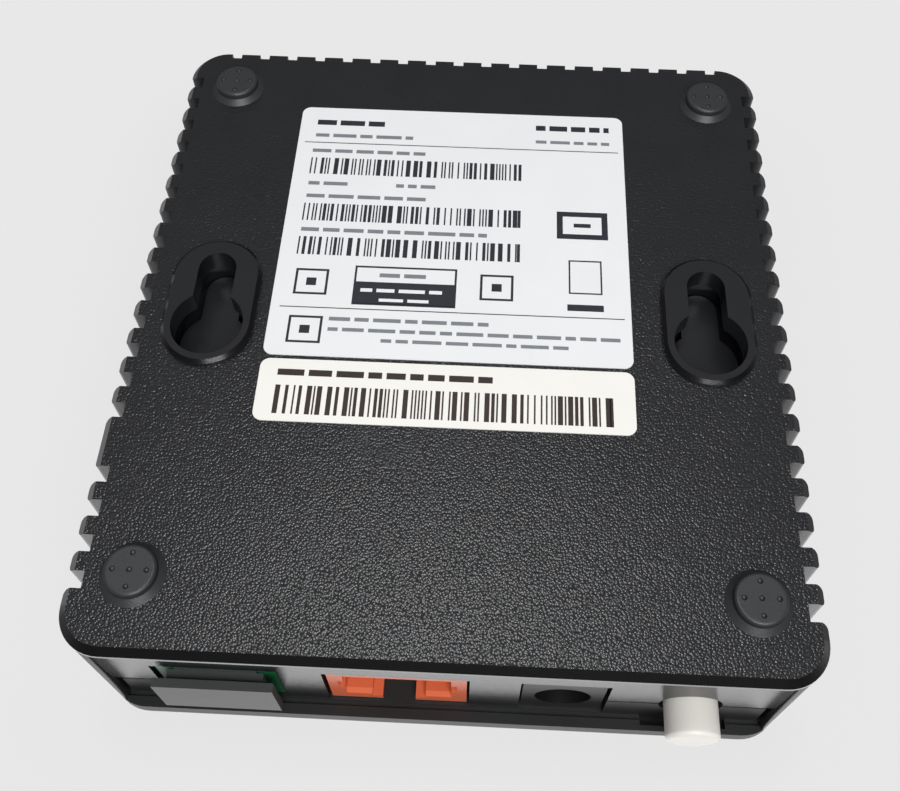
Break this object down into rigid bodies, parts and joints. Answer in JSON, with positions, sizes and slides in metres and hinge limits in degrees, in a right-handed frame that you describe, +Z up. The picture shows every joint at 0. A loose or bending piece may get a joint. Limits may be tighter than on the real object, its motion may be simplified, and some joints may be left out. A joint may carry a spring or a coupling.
{
  "type": "optical network terminal",
  "caption": "Small box-shaped optical network terminal with ribbed walls, keyholes, labels, a capped fibre port, network and power jacks and a sprung power button.",
  "frame": {"origin": "middle of the overall box at the level of the four feet", "axes": "+Z up from the feet to the lid, connector side faces -Y, fibre port towards +X and power button towards -X"},
  "size_m": [0.0768, 0.085, 0.026],
  "materials": {
    "case_plastic": "fine leather grain, moulded",
    "lid_plastic": "fine satin",
    "foot_rubber": "matt",
    "type_label_paper": "printed, laminated",
    "serial_label_paper": "printed, satin",
    "board_green": "solder mask over glass laminate",
    "screw_steel": "plated",
    "orange_plastic": "satin",
    "contact_gold": "gold plated",
    "jack_plastic": "satin",
    "jack_pin_metal": "nickel plated",
    "tail_metal": "tinned",
    "switch_plastic": "matt",
    "strap_metal": "tinned",
    "switch_tail_metal": "tinned",
    "green_plastic": "satin",
    "sleeve_ceramic": "ground",
    "ferrule_ceramic": "polished",
    "module_metal": "machined",
    "clear_plastic": "clear",
    "led_body": "clear lens",
    "chip_plastic": "moulded",
    "pad_rubber": "soft",
    "sink_aluminium": "black anodised",
    "memory_plastic": "moulded",
    "flash_plastic": "moulded",
    "driver_plastic": "moulded",
    "transformer_plastic": "moulded",
    "coil_ferrite": "moulded ferrite",
    "capacitor_can": "bare can",
    "crystal_can": "can",
    "button_plastic": "satin",
    "stem_plastic": "matt",
    "cap_plastic": "soft satin"
  },
  "bodies": {
    "case": {"base_shell": "case_plastic", "lid": "lid_plastic", "feet": "foot_rubber", "type_label": "type_label_paper", "serial_label": "serial_label_paper", "circuit_board": "board_green", "board_screws": "screw_steel", "network_jack": "orange_plastic", "network_contacts": "contact_gold", "power_jack": "jack_plastic", "power_jack_pin": "jack_pin_metal", "power_jack_tails": "tail_metal", "power_switch": "switch_plastic", "switch_strap": "strap_metal", "switch_tails": "switch_tail_metal", "fibre_adapter": "green_plastic", "fibre_sleeve": "sleeve_ceramic", "fibre_ferrule": "ferrule_ceramic", "optical_module": "module_metal", "light_pipes": "clear_plastic", "leds": "led_body", "processor": "chip_plastic", "thermal_pad": "pad_rubber", "heat_sink": "sink_aluminium", "memory_chip": "memory_plastic", "flash_chip": "flash_plastic", "laser_driver": "driver_plastic", "line_transformer": "transformer_plastic", "coils": "coil_ferrite", "capacitors": "capacitor_can", "crystal": "crystal_can"},
    "button": {"power_button": "button_plastic", "switch_stem": "stem_plastic"},
    "cap": {"dust_cap": "cap_plastic"}
  },
  "joints": [
    {"name": "power_button_press", "type": "slide", "parent": "case", "child": "button", "axis": [0, 1, 0], "range_m": [0, 0.002], "stiffness_N_per_m": 400},
    {"name": "dust_cap_pull", "type": "slide", "parent": "case", "child": "cap", "axis": [0, -1, 0], "range_m": [0, 0.012]}
  ]
}
